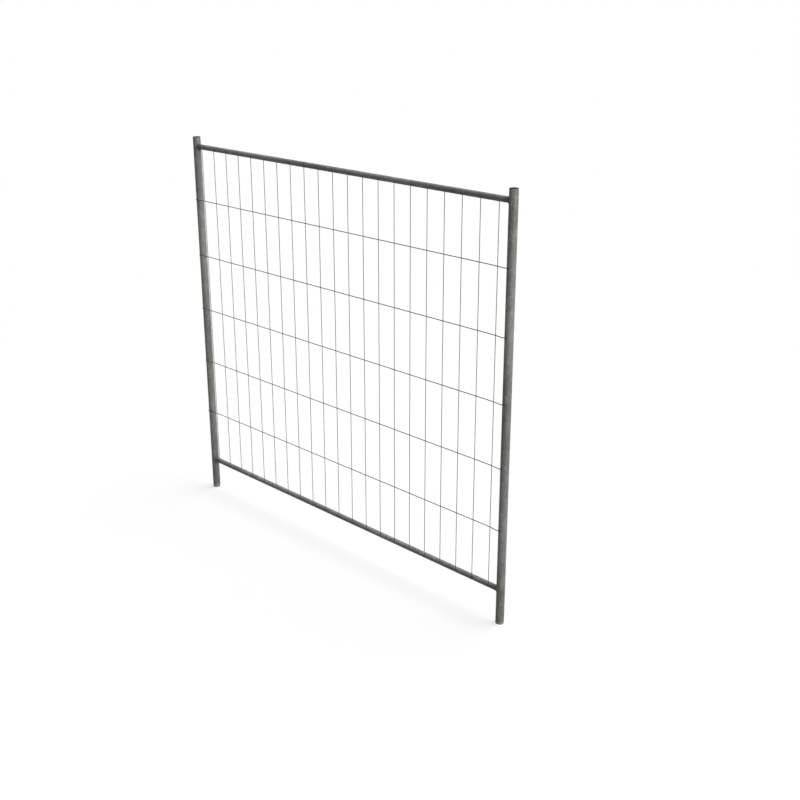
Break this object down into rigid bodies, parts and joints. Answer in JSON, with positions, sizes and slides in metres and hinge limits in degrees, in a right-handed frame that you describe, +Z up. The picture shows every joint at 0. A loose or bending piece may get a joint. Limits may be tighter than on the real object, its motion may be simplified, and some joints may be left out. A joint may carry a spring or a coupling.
{
  "type": "temporary fence panel",
  "caption": "Free-standing site fence panel: round tube frame with two upright posts, two rails and a welded wire mesh on its front, made to stand in separate feet.",
  "frame": {"origin": "middle of the left post's foot, on its flat sawn end", "axes": "+X along the panel to the right post, +Z up the post, -Y towards the side that carries the wires"},
  "size_m": [2.194, 0.0439, 2],
  "materials": {
    "galvanised_tube": "weathered galvanised tube, mottled",
    "galvanised_wire": "galvanised drawn wire",
    "weld_bead": "galvanised weld bead, rougher and darker than the tube"
  },
  "bodies": {
    "root": {"left_post": "galvanised_tube", "right_post": "galvanised_tube", "top_rail": "galvanised_tube", "bottom_rail": "galvanised_tube", "wire_mesh": "galvanised_wire", "top_left_weld": "weld_bead", "top_right_weld": "weld_bead", "bottom_left_weld": "weld_bead", "bottom_right_weld": "weld_bead"}
  },
  "joints": []
}
